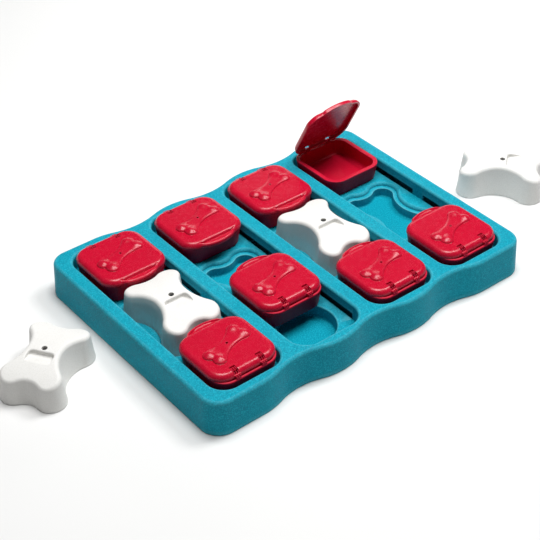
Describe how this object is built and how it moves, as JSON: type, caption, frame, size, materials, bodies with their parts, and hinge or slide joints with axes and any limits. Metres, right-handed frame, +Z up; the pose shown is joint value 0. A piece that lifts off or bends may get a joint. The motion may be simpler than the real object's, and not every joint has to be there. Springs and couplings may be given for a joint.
{
  "type": "dog puzzle feeder toy",
  "caption": "Wavy-edged tray with sliding lidded food boxes and lift-out hollow bone blocks that hide food recesses.",
  "frame": {"origin": "centre of the tray's underside", "axes": "+Z up; X runs across the four channels along the tray's long side; Y runs along the channels, from the front (-Y) to the rear (+Y)"},
  "size_m": [0.5462, 0.2348, 0.0929],
  "materials": {
    "tray_plastic": "satin, lightly textured",
    "box_plastic": "semi-gloss",
    "lid_plastic": "semi-gloss",
    "bone_plastic": "matte, fine grain"
  },
  "bodies": {
    "tray": {"tray": "tray_plastic", "trough_1": "tray_plastic", "trough_2": "tray_plastic", "trough_3": "tray_plastic", "trough_4": "tray_plastic"},
    "box_1_rear": {"box_1_rear": "box_plastic"},
    "lid_1_rear": {"lid_1_rear": "lid_plastic"},
    "box_1_front": {"box_1_front": "box_plastic"},
    "lid_1_front": {"lid_1_front": "lid_plastic"},
    "box_2_rear": {"box_2_rear": "box_plastic"},
    "lid_2_rear": {"lid_2_rear": "lid_plastic"},
    "box_2_front": {"box_2_front": "box_plastic"},
    "lid_2_front": {"lid_2_front": "lid_plastic"},
    "box_3_rear": {"box_3_rear": "box_plastic"},
    "lid_3_rear": {"lid_3_rear": "lid_plastic"},
    "box_3_front": {"box_3_front": "box_plastic"},
    "lid_3_front": {"lid_3_front": "lid_plastic"},
    "box_4_rear": {"box_4_rear": "box_plastic"},
    "lid_4_rear": {"lid_4_rear": "lid_plastic"},
    "box_4_front": {"box_4_front": "box_plastic"},
    "lid_4_front": {"lid_4_front": "lid_plastic"},
    "bone_1": {"bone_1": "bone_plastic"},
    "bone_3": {"bone_3": "bone_plastic"},
    "bone_loose_left": {"bone_loose_left": "bone_plastic"},
    "bone_loose_right": {"bone_loose_right": "bone_plastic"}
  },
  "joints": [
    {"name": "slide_1_rear", "type": "slide", "parent": "tray", "child": "box_1_rear", "axis": [0, 1, 0], "range_m": [-0.0029, 0]},
    {"name": "lid_hinge_1_rear", "type": "hinge", "parent": "box_1_rear", "child": "lid_1_rear", "pos_m": [-0.11804, 0.10104, 0.0361], "axis": [-1, 0, 0], "range_deg": [0, 105]},
    {"name": "slide_1_front", "type": "slide", "parent": "tray", "child": "box_1_front", "axis": [0, 1, 0], "range_m": [0, 0.0029]},
    {"name": "lid_hinge_1_front", "type": "hinge", "parent": "box_1_front", "child": "lid_1_front", "pos_m": [-0.11804, -0.10104, 0.0361], "axis": [1, 0, 0], "range_deg": [0, 105]},
    {"name": "slide_2_rear", "type": "slide", "parent": "tray", "child": "box_2_rear", "axis": [0, 1, 0], "range_m": [-0.0347, 0]},
    {"name": "lid_hinge_2_rear", "type": "hinge", "parent": "box_2_rear", "child": "lid_2_rear", "pos_m": [-0.03935, 0.10104, 0.0361], "axis": [-1, 0, 0], "range_deg": [0, 105]},
    {"name": "slide_2_front", "type": "slide", "parent": "tray", "child": "box_2_front", "axis": [0, 1, 0], "range_m": [-0.0402, 0]},
    {"name": "lid_hinge_2_front", "type": "hinge", "parent": "box_2_front", "child": "lid_2_front", "pos_m": [-0.03935, -0.06084, 0.0361], "axis": [1, 0, 0], "range_deg": [0, 105]},
    {"name": "slide_3_rear", "type": "slide", "parent": "tray", "child": "box_3_rear", "axis": [0, 1, 0], "range_m": [-0.0029, 0]},
    {"name": "lid_hinge_3_rear", "type": "hinge", "parent": "box_3_rear", "child": "lid_3_rear", "pos_m": [0.03935, 0.10104, 0.0361], "axis": [-1, 0, 0], "range_deg": [0, 105]},
    {"name": "slide_3_front", "type": "slide", "parent": "tray", "child": "box_3_front", "axis": [0, 1, 0], "range_m": [0, 0.0029]},
    {"name": "lid_hinge_3_front", "type": "hinge", "parent": "box_3_front", "child": "lid_3_front", "pos_m": [0.03935, -0.10104, 0.0361], "axis": [1, 0, 0], "range_deg": [0, 105]},
    {"name": "slide_4_rear", "type": "slide", "parent": "tray", "child": "box_4_rear", "axis": [0, 1, 0], "range_m": [-0.0402, 0]},
    {"name": "lid_hinge_4_rear", "type": "hinge", "parent": "box_4_rear", "child": "lid_4_rear", "pos_m": [0.11804, 0.10104, 0.0361], "axis": [-1, 0, 0], "range_deg": [-63, 42]},
    {"name": "slide_4_front", "type": "slide", "parent": "tray", "child": "box_4_front", "axis": [0, 1, 0], "range_m": [0, 0.0402]},
    {"name": "lid_hinge_4_front", "type": "hinge", "parent": "box_4_front", "child": "lid_4_front", "pos_m": [0.11804, -0.10104, 0.0361], "axis": [1, 0, 0], "range_deg": [0, 105]},
    {"name": "lift_bone_1", "type": "slide", "parent": "tray", "child": "bone_1", "axis": [0, 0, 1], "range_m": [0, 0.06]},
    {"name": "lift_bone_3", "type": "slide", "parent": "tray", "child": "bone_3", "axis": [0, 0, 1], "range_m": [0, 0.06]},
    {"name": "lift_bone_loose_left", "type": "slide", "parent": "tray", "child": "bone_loose_left", "axis": [0, 0, 1], "range_m": [0, 0.06]},
    {"name": "lift_bone_loose_right", "type": "slide", "parent": "tray", "child": "bone_loose_right", "axis": [0, 0, 1], "range_m": [0, 0.06]}
  ]
}
